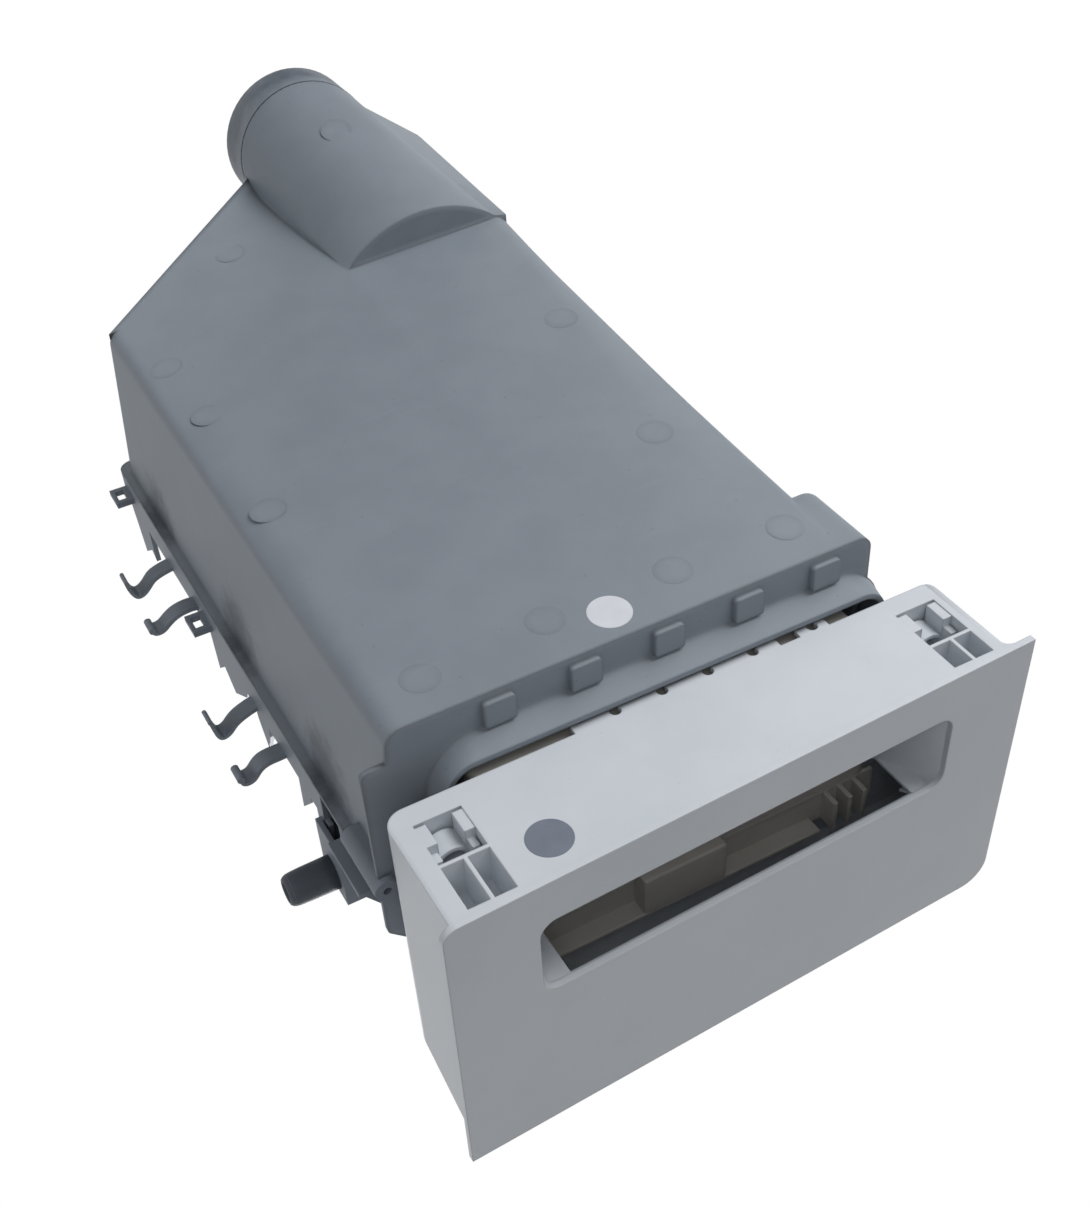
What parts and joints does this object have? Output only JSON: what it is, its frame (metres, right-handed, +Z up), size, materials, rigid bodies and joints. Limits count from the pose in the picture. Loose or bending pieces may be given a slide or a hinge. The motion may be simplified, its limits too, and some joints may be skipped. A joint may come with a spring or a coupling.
{
  "type": "washing machine detergent dispenser drawer",
  "caption": "Washing machine detergent dispenser: grey tub with outlet spout and cover, and a drawer with a handle slot in its front panel.",
  "frame": {"origin": "centre of the drawer opening, on the front plane of its collar", "axes": "+X to the right seen from the front, +Y into the machine towards the spout, +Z up as it is mounted"},
  "size_m": [0.3036, 0.53, 0.2518],
  "materials": {
    "housing_grey": "fine moulded grain",
    "panel_grey": "satin painted plastic",
    "drawer_grey": "dull, brown-grey",
    "inner_white": "plain moulded",
    "cap_blue": "smooth",
    "cap_white": "smooth",
    "cup_clear": "translucent",
    "screw_steel": "zinc plated"
  },
  "bodies": {
    "housing": {"housing_tub": "housing_grey", "screw_boss": "housing_grey", "shower_plate": "inner_white", "housing_cover": "housing_grey"},
    "drawer": {"drawer_box": "drawer_grey", "front_panel": "panel_grey", "panel_screw_left": "screw_steel", "panel_screw_right": "screw_steel", "softener_cap": "cap_blue", "bleach_cap": "cap_white", "liquid_cup": "cup_clear"}
  },
  "joints": [
    {"name": "drawer_slide", "type": "slide", "parent": "housing", "child": "drawer", "axis": [0, -1, 0], "range_m": [0, 0.235]}
  ]
}
